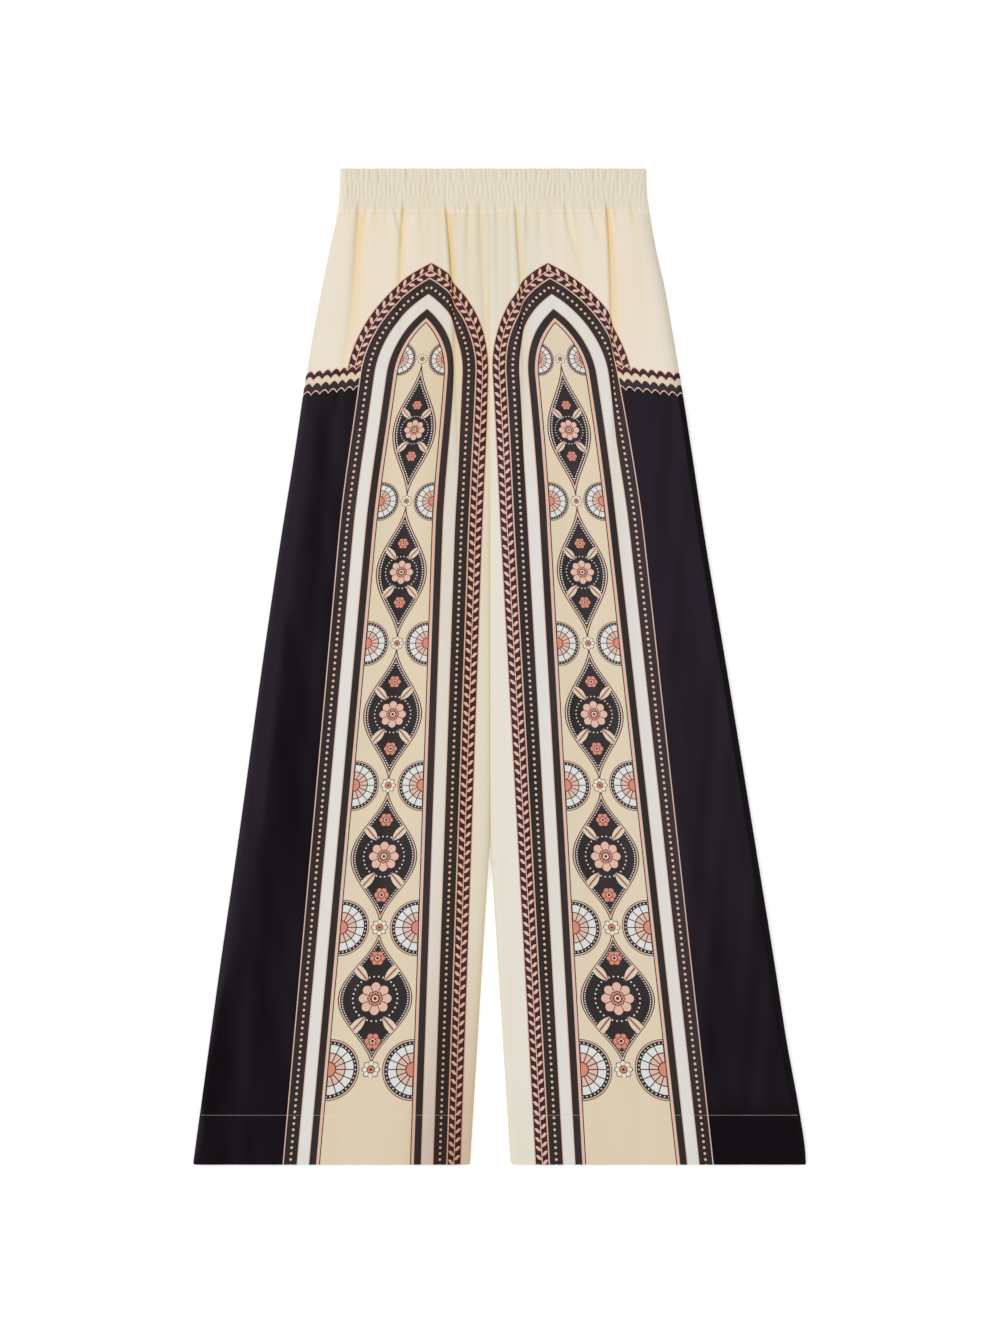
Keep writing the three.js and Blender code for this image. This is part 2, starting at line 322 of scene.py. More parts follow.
class TrousersColours(bpy.types.PropertyGroup):
    """Colours of the silk, the print and the thread, and the tints of the painted shade and painted sheen
    on the silk.
    """

    cream: shade("Cream", "Ground outside the arches", 223, 213, 196)
    pale: shade("Pale cream", "Ground between the arches", 219, 215, 202)
    band: shade("Waist cream", "Ground of the waistband", 216, 208, 190)
    sand: shade("Sand", "Ground inside the arches", 213, 199, 174)
    white: shade("White", "Middle stripe of the arches", 213, 212, 208)
    charcoal: shade("Charcoal", "Stripes and medallions", 45, 41, 38)
    plum_black: shade("Plum black", "Outer sides of the legs", 12, 7, 12)
    plum_brown: shade("Plum brown", "Ground of the leaf border", 62, 33, 34)
    blush: shade("Blush", "Pins, leaves and petals", 214, 178, 162)
    salmon: shade("Salmon", "Hearts of the flowers", 208, 132, 112)
    warm: shade("Fold shade", "Tint of the light in a fold", 255, 234, 182)
    deep: shade("Fold line", "Tint of the light along a fold's line", 228, 205, 174)
    dim: shade("Dim", "Tint of the light down the inside of a leg", 231, 214, 204)
    rim: shade("Rim", "Tint of the light along the side seams", 232, 232, 236)
    shine: shade("Shine", "Light that the silk adds where it faces the window", 32, 26, 34)
    thread: shade("Thread", "Sewing thread", 228, 223, 214)


class TrousersStage(bpy.types.PropertyGroup):
    """The surface, the light and the camera."""

    key: share("Key light", "Strength of the light from the upper left", 1.0)
    ambient: share("Soft light", "Strength of the light from all round", 1.0)
    camera_height: distance("Camera height", "Distance of the camera above the surface", 3374.0)


def sizes():
    return bpy.context.scene.trousers_sizes


def colours():
    return bpy.context.scene.trousers_colours


# Curves and blends


def smooth_curve(places, values):
    """A smooth curve through the points given, as a function."""
    places = np.array(places, float)
    values = np.array(values, float)
    slopes = np.gradient(values, places)

    def curve(place):
        k = np.clip(np.searchsorted(places, place) - 1, 0, len(places) - 2)
        span = places[k + 1] - places[k]
        t = np.clip((place - places[k]) / span, 0.0, 1.0)
        start = (1 + 2 * t) * (1 - t) ** 2 * values[k] + t * (1 - t) ** 2 * span * slopes[k]
        end = t * t * (3 - 2 * t) * values[k + 1] + t * t * (t - 1) * span * slopes[k + 1]
        return start + end

    return curve


def column_of(table, place, value):
    return smooth_curve([getattr(row, place) for row in table], [getattr(row, value) for row in table])


right_side = column_of(OUTLINE, "down", "right_side")
left_side = column_of(OUTLINE, "down", "left_side")
rolled = column_of(OUTLINE, "down", "rolled")
front_level = column_of(FRONT_LEVELS, "down", "height")
right_edge_sheen = column_of(SHEENS, "down", "right_edge")
right_panel_sheen = column_of(SHEENS, "down", "right_panel")
left_panel_sheen = column_of(SHEENS, "down", "left_panel")
right_dusk = column_of(DUSKS, "down", "right")
left_dusk = column_of(DUSKS, "down", "left")
right_warmth = column_of(DUSKS, "down", "warm")


def blend(value, low, high):
    """0 up to low, 1 from high on, and smooth between them."""
    t = np.clip((value - low) / (high - low), 0.0, 1.0)
    return t * t * (3 - 2 * t)


def bump(value, width):
    """1 at 0, falling away smoothly on both sides."""
    return np.exp(-((value / width) ** 2))


def quarter_round(inward, width):
    """0 at an edge, and 1 from a given width inwards."""
    t = np.clip(inward / width, 0.0, 1.0)
    return np.sqrt(1 - (1 - t) ** 2)


# The lie of the cloth


def hem_corner(down, radius):
    """How far a rounded corner of the hem draws its edge in."""
    reach = np.clip((down - LENGTH + radius) / radius, 0.0, 1.0)
    return radius * (1 - np.sqrt(1 - reach**2))


def inner_edge(leg, down):
    start = CENTRE + leg.side * SEAM / 2
    parting = np.clip((down - SPLIT) / (LENGTH - SPLIT), 0.0, 1.0)
    return start + (leg.hem_inner - start) * parting + leg.side * hem_corner(down, leg.inner_corner)


def outer_edge(leg, down):
    edge = left_side(down) if leg.side > 0 else right_side(down)
    return edge - leg.side * hem_corner(down, leg.outer_corner)


def side_seam(leg, x, down):
    """1 along the side seam where it shows: the left one is rolled onto the front at the hip."""
    if leg.side < 0:
        return np.zeros(x.shape)
    seam = left_side(down) - rolled(down)
    return bump(x - seam, 0.7) * blend(rolled(down), *ROLL_SHOWS)


def beyond_seam(leg, x, down):
    """1 on the strip of the back cloth that is rolled onto the front."""
    if leg.side < 0:
        return np.zeros(x.shape)
    seam = left_side(down) - rolled(down)
    return blend(x - seam, -0.4, 0.4) * blend(rolled(down), *ROLL_SHOWS)


def fold_line(fold, down):
    """x of a fold's line, down the trousers."""
    fallen = down - BAND_DEPTH
    return fold.at + fold.drift * fallen + fold.bend * fallen**2 + 0.7 * np.sin(fallen / 41 + fold.at)


def fold_place(fold, x, down):
    """How far x lies to the right of a fold's line, its strength there and its growth down the leg."""
    run = np.clip((down - fold.start) / fold.reach, 0.0, 1.0)
    strength = blend(down, fold.start - 2, fold.start + 16) * (1 - run**2) ** 1.5
    growth = 0.55 + 0.45 * blend(down, fold.start, fold.start + 30) + run
    return x - fold_line(fold, down), strength, growth


def fold_depth(folds, x, down):
    """Depth of the folds, steep on their left and gentle on their right."""
    depth = np.zeros(np.broadcast(x, down).shape)
    for fold in folds:
        off, strength, growth = fold_place(fold, x, down)
        width = np.where(off < 0, fold.wall, fold.slope) * growth
        trough = np.exp(-(np.abs(off / width) ** 1.6))
        lip = LIP_HEIGHT * bump(off + LIP_AT * fold.wall * growth, LIP_WIDTH * fold.wall * growth)
        depth += TROUGH * fold.depth * strength * (trough - lip)
    return depth


def fold_shade(folds, x, down):
    """How far the cloth lies in the shade of a fold: 1 in its warm part, and more along its line."""
    dark = np.zeros(np.broadcast(x, down).shape)
    for fold in folds:
        off, strength, growth = fold_place(fold, x, down)
        width = fold.slope * growth
        warm = np.where(off < 0, bump(off, 0.5 * growth), 1 - blend(off, 0.2 * width, 1.7 * width))
        dark += fold.shade * strength * (0.65 * warm + 0.5 * bump(off, 0.7 * growth))
    return dark


def hidden_cloth(folds, x, down):
    """How far the cut lies to the right of the laid cloth: each fold hides a little of it."""
    moved = np.zeros(np.broadcast(x, down).shape)
    for fold in folds:
        off, strength, growth = fold_place(fold, x, down)
        moved += 0.5 * fold.hides * strength * np.tanh(off / (0.6 + growth))
    return moved


Gather = namedtuple("Gather", "at slant bow start end depth width power")


def casing_gathers(count, top, depths, widths, power, seed, uneven=0.6):
    """Gathers across one channel of the casing, from top down to its next row.

    A power of 2 makes the hollows between soft puffs, and 1 makes sharp creases.
    """
    draw = np.random.default_rng(seed)
    low, high = right_side(0.0) + 2, left_side(0.0) - 2
    steps = 1 + uneven * draw.uniform(-1, 1, count)
    places = low + (high - low) * (np.cumsum(steps) - steps / 2) / steps.sum()
    made = []
    crooked = 1.0 if top == 0 else 1.5
    for place in places:
        slant = 0.035 * crooked * draw.normal()
        bow = 0.3 * crooked * draw.normal()
        start = top + draw.uniform(-2.0, 3.0)
        end = top + CHANNEL + draw.uniform(-3.0, 3.0)
        depth = draw.uniform(*depths)
        width = draw.uniform(*widths)
        made.append(Gather(place, slant, bow, start, end, depth, width, power))
    return made


def small_folds(count, seed):
    """Short folds that fall from the lower casing, between the main ones."""
    draw = np.random.default_rng(seed)
    low, high = right_side(BAND_DEPTH) + 5, left_side(BAND_DEPTH) - 5
    made = []
    for k in range(count):
        at = low + (high - low) * (k + 0.5 + 0.4 * draw.uniform(-1, 1)) / count
        start = LOWER_ROW + draw.uniform(-3.0, 4.0)
        reach = draw.uniform(12, 50)
        depth = draw.uniform(0.4, 1.1)
        wall = draw.uniform(0.9, 1.6)
        made.append(Fold(at, 0.1 * draw.normal(), 0.0, start, reach, depth, wall, 1.7 * wall, 0.4, 0.25))
    return made


def soft_folds(count, seed):
    """Long low folds that carry the gathers on down the legs, longest near the middle."""
    draw = np.random.default_rng(seed)
    low, high = right_side(BAND_DEPTH) + 8, left_side(BAND_DEPTH) - 8
    made = []
    for k in range(count):
        at = low + (high - low) * (k + 0.5 + 0.45 * draw.uniform(-1, 1)) / count
        middle = bump(at - CENTRE, 60.0)
        reach = draw.uniform(90, 190) + 230 * middle
        depth = draw.uniform(0.2, 0.5)
        wall = draw.uniform(1.8, 3.4)
        spread = 0.10 * (at - CENTRE) / 160
        warmth = draw.uniform(0.08, 0.3)
        made.append(Fold(at, spread, 0.0, LOWER_ROW, reach, depth, wall, 1.6 * wall, 0.5, warmth))
    return made


PUFF, CREASE = 2, 1
TOP_GATHERS = [
    *casing_gathers(62, 0.0, (0.3, 0.7), (0.9, 1.5), PUFF, 11),
    *casing_gathers(28, 0.0, (0.6, 1.3), (0.6, 1.1), CREASE, 15, 0.3),
]
FRONT_CHANNELS = [
    *TOP_GATHERS,
    *casing_gathers(66, CHANNEL, (0.55, 0.85), (0.9, 1.3), PUFF, 12, 0.3),
    *casing_gathers(24, CHANNEL, (0.2, 0.5), (0.3, 0.5), CREASE, 16),
    *casing_gathers(46, LOWER_ROW, (0.15, 0.3), (0.8, 1.4), PUFF, 17),
]
BACK_TOP_GATHERS = casing_gathers(66, 0.0, (0.3, 0.9), (0.8, 1.4), PUFF, 21)
BACK_CHANNELS = [
    *BACK_TOP_GATHERS,
    *casing_gathers(88, CHANNEL, (0.3, 0.8), (0.7, 1.1), PUFF, 22),
    *casing_gathers(50, LOWER_ROW, (0.15, 0.35), (0.8, 1.4), PUFF, 25),
]
ALL_FRONT_FOLDS = FRONT_FOLDS + small_folds(28, 13) + soft_folds(26, 14)
ALL_BACK_FOLDS = BACK_FOLDS + small_folds(26, 23) + soft_folds(16, 24)


def gather_depth(gathers, x, down):
    """Depth of the casing's gathers: creases and hollows between round puffs."""
    depth = np.zeros(np.broadcast(x, down).shape)
    for gather in gathers:
        middle = (gather.start + gather.end) / 2
        begun = blend(down, gather.start - 2, gather.start + 4)
        ends = begun * (1 - blend(down, gather.end - 6, gather.end + 1))
        wave = gather.bow * np.sin((down - middle) / 3.5)
        off = x - gather.at - gather.slant * (down - middle) - wave
        depth += gather.depth * ends * np.exp(-(np.abs(off / gather.width) ** gather.power))
    return depth


def gather_shade(gathers, x, down):
    return np.clip(0.35 * (gather_depth(gathers, x, down) - 0.6), 0.0, 0.5)


def edge_dip(gathers, x, down):
    """How far the casing's top edge is drawn in where a gather reaches it."""
    reach = np.clip(1 - down / 5.0, 0.0, 1.0) ** 2
    return 0.45 * reach * gather_depth(gathers, x, np.full(x.shape, 5.0))


PLAIN_SHEEN = 0.5


def sheen(leg, x, down):
    """The broad shine of a leg, which is plain but for its outer side."""
    inner, outer = inner_edge(leg, down), outer_edge(leg, down)
    across = (x - inner) / (outer - inner)
    plain = PLAIN_SHEEN * (1 - 0.45 * blend(down, 650, LENGTH))
    panel = left_panel_sheen(down) if leg.side > 0 else right_panel_sheen(down)
    shine = plain + (panel - plain) * blend(across, 0.48, 0.64)
    if leg.side < 0:
        shine = shine + (right_edge_sheen(down) - shine) * blend(across, 0.89, 0.96)
    return shine


def inner_side(leg, x, down):
    """1 along the inside of a leg, fading towards its middle."""
    inward = np.abs(x - inner_edge(leg, down))
    return 1 - blend(inward, DUSK_WIDTH, 2 * DUSK_WIDTH)


def dusk(leg, x, down):
    """How far the inside of a leg lies in the shade."""
    amount = left_dusk(down) if leg.side > 0 else right_dusk(down)
    return amount * inner_side(leg, x, down)


def rim(leg, x, down):
    """How far the outer edge of a leg lies in the shade, which is widest and deepest on the left."""
    edge = LEFT_RIM if leg.side > 0 else RIGHT_RIM
    inward = np.abs(x - outer_edge(leg, down))
    return edge.depth * (1 - blend(inward, edge.full, edge.ends) + beyond_seam(leg, x, down))


def inner_warmth(leg, x, down):
    """How warm the shade is along the centre seam, and down the inside of the right leg."""
    seam = CENTRE_WARMTH * bump(x - inner_edge(leg, down), CENTRE_WIDTH)
    return seam if leg.side > 0 else seam + right_warmth(down) * inner_side(leg, x, down)


def lustre(height, x, plain):
    """How brightly the silk shines, from 0 to 1: most where it faces the light on the left."""
    facing = np.gradient(height, axis=1) / np.gradient(x, axis=1)
    glance = 7.0 * np.clip(0.15 + 2 * plain, 0.0, 1.0)
    return np.clip(plain + glance * facing, 0.0, 1.0)


def swell_height(swells, across, down):
    height = np.zeros(np.broadcast(across, down).shape)
    for swell in swells:
        ends = blend(down, swell.start, swell.start + 150) * (1 - blend(down, swell.end - 150, swell.end))
        height += swell.height * ends * bump(across - swell.across, swell.width)
    return height


def ripple_height(x, down):
    height = np.zeros(np.broadcast(x, down).shape)
    for ripple in RIPPLES:
        turns = x / ripple.across + down / ripple.down
        height += ripple.height * np.sin(2 * math.pi * turns + ripple.start)
    return height * blend(down, BAND_DEPTH, 120)


def cloth_wall(down):
    """Thickness of a leg's cloth, which is double from the hem's row down."""
    size = sizes()
    single, double = size.cloth / MM, size.hem_cloth / MM
    return single + (double - single) * blend(down, HEM_ROW - 1.0, HEM_ROW + 0.5)


def groove_depth(grooves, down):
    return sum(groove.depth * bump(down - groove.row, groove.width) for groove in grooves)


def edge_lift(down):
    """Height of the side seams over the surface."""
    return BACK_LIFT + CASING_LIFT * np.exp(-np.clip(down - BAND_DEPTH, 0, None) / 40)


def front_height(x, down, leg=None):
    """Height of the front cloth's outer side. Without a leg it is the casing."""
    size = sizes()
    height = front_level(down) + ripple_height(x, down)
    height -= size.fold_depth * fold_depth(ALL_FRONT_FOLDS, x, down)
    height -= size.gather_depth * gather_depth(FRONT_CHANNELS, x, down)
    height -= groove_depth(FRONT_GROOVES, down)
    height += 0.3 * blend(down, HEM_ROW, HEM_ROW + 3)
    roll = size.roll / MM
    low = edge_lift(down) + 2 * cloth_wall(down)
    right, left = right_side(down), left_side(down)
    edges = quarter_round(x - right, roll) * quarter_round(left - x, roll)
    if leg:
        inner, outer = inner_edge(leg, down), outer_edge(leg, down)
        height -= 0.6 * side_seam(leg, x, down)
        swells = LEFT_SWELLS if leg.side > 0 else RIGHT_SWELLS
        height += swell_height(swells, (x - inner) / (outer - inner), down)
        seam = bump(x - inner, 1.3) * (1 - blend(down, CROTCH - 60, CROTCH))
        height -= 0.2 * seam
        round_off = INSEAM_ROUND * blend(down, CROTCH - 40, CROTCH + 60)
        round_off += (1 - INSEAM_ROUND) * blend(down, SPLIT - 80, SPLIT + 20)
        edges = edges * (1 - round_off * (1 - quarter_round(np.abs(x - inner), roll)))
    return np.maximum(low + (height - low) * edges, low)


def back_height(x, down, leg=None):
    """Height of the back cloth's outer side, which is its underside and rests on the surface."""
    size = sizes()
    height = size.fold_depth * fold_depth(ALL_BACK_FOLDS, x, down)
    height += size.gather_depth * gather_depth(BACK_CHANNELS, x, down)
    roll = 0.7 * size.roll / MM
    right, left = right_side(down), left_side(down)
    edges = quarter_round(x - right, roll) * quarter_round(left - x, roll)
    if leg:
        inner = inner_edge(leg, down)
        height = height + 0.4 * bump(x - inner, 1.3)
        below = blend(down, CROTCH - 40, CROTCH + 60)
        edges = edges * (1 - below * (1 - quarter_round(np.abs(x - inner), roll)))
    return np.maximum(height, 0.0) + groove_depth(BACK_GROOVES, down) + edge_lift(down) * (1 - edges)


# Meshes


def grid(rows, columns, low, high):
    """x and down at each point of a grid between two edges, closer near the edges."""
    down = np.repeat(np.array(rows, float)[:, None], columns + 1, axis=1)
    across = np.linspace(0.0, 1.0, columns + 1)[None, :]
    across = across - EDGE_PINCH * np.sin(2 * math.pi * across) / (2 * math.pi)
    start, end = low(down), high(down)
    return start + (end - start) * across, down


def leg_grid(leg, rows, columns):
    """x and down at each point of a leg. The columns run along its long folds, closest at their lines."""
    down = np.array(rows, float)
    low, high = in_order(leg, lambda d: inner_edge(leg, d), lambda d: outer_edge(leg, d))

    def share_of(place, x):
        return (x - low(place)) / (high(place) - low(place))

    stops = [np.zeros(len(down))]
    for fold in LONG_FOLDS:
        if low(LEG_TOP) < fold.at < high(LEG_TOP):
            place = np.minimum(down, fold.start + fold.reach)
            stops.append(share_of(place, fold_line(fold, place)))
    stops = np.stack([*stops, np.ones(len(down))])
    even = np.linspace(0.0, 1.0, columns + 1)
    span = np.clip(np.searchsorted(stops[:, 0], even) - 1, 0, len(stops) - 2)
    t = (even - stops[span, 0]) / (stops[span + 1, 0] - stops[span, 0])
    t = t - FOLD_PINCH * np.sin(2 * math.pi * t) / (2 * math.pi)
    across = (stops[span] + (stops[span + 1] - stops[span]) * t[:, None]).T
    down = np.repeat(down[:, None], columns + 1, axis=1)
    return low(down) + (high(down) - low(down)) * across, down


def rows_between(*stops):
    """Rows at uneven spacing: (down, step) pairs, where each step holds up to the next down."""
    rows = []
    for (start, step), (end, _) in zip(stops, stops[1:]):
        count = max(1, round((end - start) / step))
        rows += list(np.linspace(start, end, count, endpoint=False))
    return rows + [stops[-1][0]]


def wall_faces(rows, columns):
    """Faces of a closed wall: an upper grid, a lower one, and the rim between them."""
    across = columns + 1
    ids = np.arange(rows * across).reshape(rows, across)
    lower = ids + rows * across
    quads = [
        np.stack([ids[:-1, :-1], ids[1:, :-1], ids[1:, 1:], ids[:-1, 1:]], axis=-1).reshape(-1, 4),
        np.stack([lower[:-1, :-1], lower[:-1, 1:], lower[1:, 1:], lower[1:, :-1]], axis=-1).reshape(-1, 4),
    ]
    ring = np.concatenate([ids[:, 0], ids[-1, 1:], ids[-2::-1, -1], ids[0, -2:0:-1]])
    after = np.roll(ring, -1)
    depth = rows * across
    quads.append(np.stack([after, ring, ring + depth, after + depth], axis=-1))
    return np.concatenate(quads)


def cloth_object(name, x, down, upper, lower, cut, **painted_lights):
    """A closed wall of cloth between two heights.

    cut is the place of each point in the cut, and the other values at each point are amounts of painted
    shade and painted sheen.
    """
    rows, across = x.shape
    y = LENGTH / 2 - down
    layers = [np.stack([x, y, height], axis=-1).reshape(-1, 3) for height in (upper, lower)]
    points = np.concatenate(layers) * MM
    faces = wall_faces(rows, across - 1)
    mesh = bpy.data.meshes.new(name)
    mesh.vertices.add(len(points))
    mesh.vertices.foreach_set("co", points.astype(np.float32).ravel())
    mesh.loops.add(faces.size)
    mesh.loops.foreach_set("vertex_index", faces.astype(np.int32).ravel())
    mesh.polygons.add(len(faces))
    mesh.polygons.foreach_set("loop_start", np.arange(0, faces.size, 4, dtype=np.int32))
    mesh.update(calc_edges=True)
    places = np.tile(np.stack(cut, axis=-1).reshape(-1, 2), (2, 1)) * MM
    layer = mesh.uv_layers.new(name="cut")
    layer.uv.foreach_set("vector", places[faces.ravel()].astype(np.float32).ravel())
    for painted_light, values in painted_lights.items():
        attribute = mesh.attributes.new(painted_light, "FLOAT", "POINT")
        attribute.data.foreach_set("value", np.tile(values.ravel(), 2).astype(np.float32))
    mesh.validate()
    mesh.shade_smooth()
    mesh.set_sharp_from_angle(angle=math.radians(60))
    return add_object(name, mesh)


def add_object(name, data):
    made = bpy.data.objects.new(name, data)
    bpy.context.scene.collection.objects.link(made)
    return made


def dress(piece, material, node=None):
    """Gives a piece its finish, its body and the solid that it stands for."""
    piece.data.materials.append(material)
    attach(piece, BODY)
    if node:
        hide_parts(node)


# Materials


class Value:
    """A number that a material works out at each point of the cloth."""

    def __init__(self, tree, socket):
        self.tree = tree
        self.socket = socket

    def math(self, operation, *others):
        node = self.tree.nodes.new("ShaderNodeMath")
        node.operation = operation
        for socket, value in zip(node.inputs, (self, *others)):
            feed(self.tree, socket, value)
        return Value(self.tree, node.outputs[0])

    def __add__(self, other):
        return self.math("ADD", other)

    def __sub__(self, other):
        return self.math("SUBTRACT", other)

    def __rsub__(self, other):
        return self.math("MULTIPLY_ADD", -1.0, other)

    def __mul__(self, other):
        return self.math("MULTIPLY", other)

    def __truediv__(self, other):
        return self.math("DIVIDE", other)

    def __abs__(self):
        return self.math("ABSOLUTE")

    def __lt__(self, other):
        return self.math("LESS_THAN", other)

    def __gt__(self, other):
        return self.math("GREATER_THAN", other)

    __radd__ = __add__
    __rmul__ = __mul__

    def squared(self):
        return self.math("MULTIPLY", self)

    def folded(self, half):
        """The distance to the nearest multiple of twice half."""
        return self.math("PINGPONG", half)

    def clipped(self, low):
        return self.math("MAXIMUM", low)

    def length(self, other):
        return self.squared().math("MULTIPLY_ADD", 1.0, other.squared()).math("SQRT")

    def angle(self, other):
        """The angle whose tangent is self over other."""
        return self.math("ARCTAN2", other)

    def ease(self, low, high, start=0.0, end=1.0):
        """start up to low, end from high on, and smooth between them."""
        node = self.tree.nodes.new("ShaderNodeMapRange")
        node.interpolation_type = "SMOOTHSTEP"
        keys = ("Value", "From Min", "From Max", "To Min", "To Max")
        for key, value in zip(keys, (self, low, high, start, end)):
            feed(self.tree, node.inputs[key], value)
        return Value(self.tree, node.outputs["Result"])


def feed(tree, socket, value):
    """Links a value to a socket, or sets a plain number or colour on it."""
    if isinstance(value, Value):
        tree.links.new(value.socket, socket)
    elif isinstance(value, bpy.types.NodeSocket):
        tree.links.new(value, socket)
    elif hasattr(value, "__len__"):
        socket.default_value = (*value, 1.0)
    else:
        socket.default_value = value


def stripes(value, span, *bands):
    """Colours by a value in millimetres, from 0 to span. bands are (start, colour)."""
    tree = value.tree
    node = tree.nodes.new("ShaderNodeValToRGB")
    ramp = node.color_ramp
    ramp.interpolation = "CONSTANT"
    feed(tree, node.inputs["Fac"], value * (1 / span))
    ramp.elements.remove(ramp.elements[1])
    for k, (start, colour) in enumerate(bands):
        stop = ramp.elements[0] if k == 0 else ramp.elements.new(start / span)
        stop.position = start / span
        stop.color = (*colour, 1.0)
    return node.outputs["Color"]


MIX_FACTOR, MIX_UNDER, MIX_OVER = 0, 6, 7
MIX_RESULT = 2


def lay(tree, under, over, mask, blend_type="MIX"):
    """over where mask is 1, and under elsewhere."""
    node = tree.nodes.new("ShaderNodeMix")
    node.data_type = "RGBA"
    node.blend_type = blend_type
    feed(tree, node.inputs[MIX_FACTOR], mask)
    feed(tree, node.inputs[MIX_UNDER], under)
    feed(tree, node.inputs[MIX_OVER], over)
    return node.outputs[MIX_RESULT]


def new_material(name):
    material = bpy.data.materials.new(name)
    material.use_nodes = True
    return material, material.node_tree


def cut_place(tree):
    """The place in the cut: across the print's axis, and down, in millimetres."""
    node = tree.nodes.new("ShaderNodeUVMap")
    node.uv_map = "cut"
    split = tree.nodes.new("ShaderNodeSeparateXYZ")
    tree.links.new(node.outputs["UV"], split.inputs[0])
    return [Value(tree, split.outputs[k]) * (1 / MM) for k in range(2)]


# The print: an arch of stripes on each leg, with a column of flower medallions in it

ARCH_HEAD = 224.0  # down to where the arch's pointed head meets its straight sides
ARCH_POINT = 55.0  # how far past the axis each side of the head is struck from
ARCH_HALF = 25.0  # half width of the column inside the arch, at its head
ARCH_SPREAD = 0.0275  # and how fast it widens down the leg
MOTIF_HALF = 38.0  # half width that the column's motifs are drawn for
STRIPES = 40.0  # width of the stripes
BORDER = 15.0  # and of the leaf border along them
REPEAT = 152.0  # from one medallion to the next
FIRST_MEDALLION = 280.0
LAST_MEDALLION = 888.0
LEAF_STEP = 9.6
DARK_TOP = 214.0  # down to the dark side's upper trim, at the arch
BEAD_STEP = 6.4
BEAD_LINE = 31.8  # from the column's edge to the row of beads


def arch_stripes(across, colour):
    return stripes(
        across,
        STRIPES + BORDER,
        (0.0, colour.charcoal),
        (1.0, colour.blush),
        (4.0, colour.charcoal),
        (11.6, colour.blush),
        (12.6, colour.white),
        (23.8, colour.blush),
        (24.8, colour.charcoal),
        (38.8, colour.blush),
        (STRIPES, colour.plum_brown),
        (STRIPES + BORDER - 1.2, colour.blush),
    )


def leaf_border(across, along):
    """1 on the leaves and the stem of the border."""
    side = across - (STRIPES + BORDER / 2 - 0.6)
    off = abs(side)
    shifted = along + side.math("SIGN") * (LEAF_STEP / 4)
    cell = shifted.math("FLOORED_MODULO", LEAF_STEP) - LEAF_STEP / 2
    lean = cell + off * 0.7 - 2.2
    bow = ((off - 3.3) * (1 / 3.1)).squared()
    leaf = abs(lean) < (1 - bow) * 2.1
    stem = off < 0.45
    return leaf.math("MAXIMUM", stem)


def flower(tree, under, across, along, radius, petals, bands, notch=0.22):
    """A round flower with scalloped petals, laid over what is under it."""
    reach = across.length(along)
    wave = (along.angle(across) * (petals / 2)).math("COSINE")
    edge = abs(wave) * (radius * notch) + radius * (1 - notch)
    ratio = reach / edge
    gap = abs(wave) * reach < 0.09 * radius
    blossom = stripes(ratio, 1.0, *bands)
    heart = bands[-2][0]
    split = gap.math("MULTIPLY", ratio > heart)
    blossom = lay(tree, blossom, bands[0][1], split)
    return lay(tree, under, blossom, ratio < 1.0)


def medallion(tree, off, along, half, scale, colour):
    """A pointed medallion on sand, with flowers and leaves, and its middle at along = 0."""
    swing = (along * (math.pi / REPEAT)).math("COSINE").squared()
    inside = swing * (half - 3.5) - off
    ground = stripes(inside, 40.0, (0, colour.charcoal), (1.0, colour.blush), (2.4, colour.charcoal))
    made = lay(tree, colour.sand, ground, inside > 0.0)
    bead = along.folded(1.3).length(inside - 4.6) < 0.75
    made = lay(tree, made, colour.white, bead)

    # A ring of beads round the middle flower, and two leaves each way
    off, along = off / scale, along / scale
    reach = off.length(along)
    turn = along.angle(off)
    ring = (turn.folded(math.pi / 30) * 21.0).length(reach - 21.0) < 0.8
    made = lay(tree, made, colour.white, ring * (inside > 3.0))
    cosine, sine = math.cos(0.85), math.sin(0.85)
    east, north = off - 15.5, along - 25.5
    tip = east * cosine + north * sine
    side = abs(north * cosine - east * sine)
    lens = (1 - (tip * (1 / 12.0)).squared()) * 4.6
    leaf = stripes(side, 6.0, (0, colour.charcoal), (0.5, colour.blush), (2.0, colour.sand))
    made = lay(tree, made, leaf, (side < lens) * (inside > 2.4))
    middle = (
        (0.0, colour.plum_brown),
        (0.10, colour.sand),
        (0.20, colour.plum_brown),
        (0.29, colour.salmon),
        (0.40, colour.plum_brown),
        (0.45, colour.blush),
        (0.93, colour.plum_brown),
    )
    small = (
        (0.0, colour.plum_brown),
        (0.18, colour.blush),
        (0.36, colour.plum_brown),
        (0.46, colour.salmon),
        (0.90, colour.plum_brown),
    )
    made = flower(tree, made, off, along, 16.5, 8, middle)
    return flower(tree, made, off, along - 39.0, 8.0, 6, small)


def edge_fan(tree, out, down, scale, colour):
    """The colours of a half-round fan on the column's edge, and how far from its middle they lie."""
    sweep = out.length(down) / scale
    turn = down.angle(out)
    fan = stripes(
        sweep,
        30.0,
        (0.0, colour.salmon),
        (6.0, colour.charcoal),
        (7.0, colour.blush),
        (14.5, colour.charcoal),
        (15.4, colour.white),
        (22.5, colour.charcoal),
        (26.0, colour.blush),
        (27.0, colour.charcoal),
    )
    ray = (turn.folded(math.pi / 16) * sweep) < 0.45
    fan = lay(tree, fan, colour.charcoal, ray * (sweep > 7.0) * (sweep < 22.5))
    dots = (turn.folded(math.pi / 40) * sweep).length(sweep - 24.2) < 0.7
    return lay(tree, fan, colour.white, dots), sweep


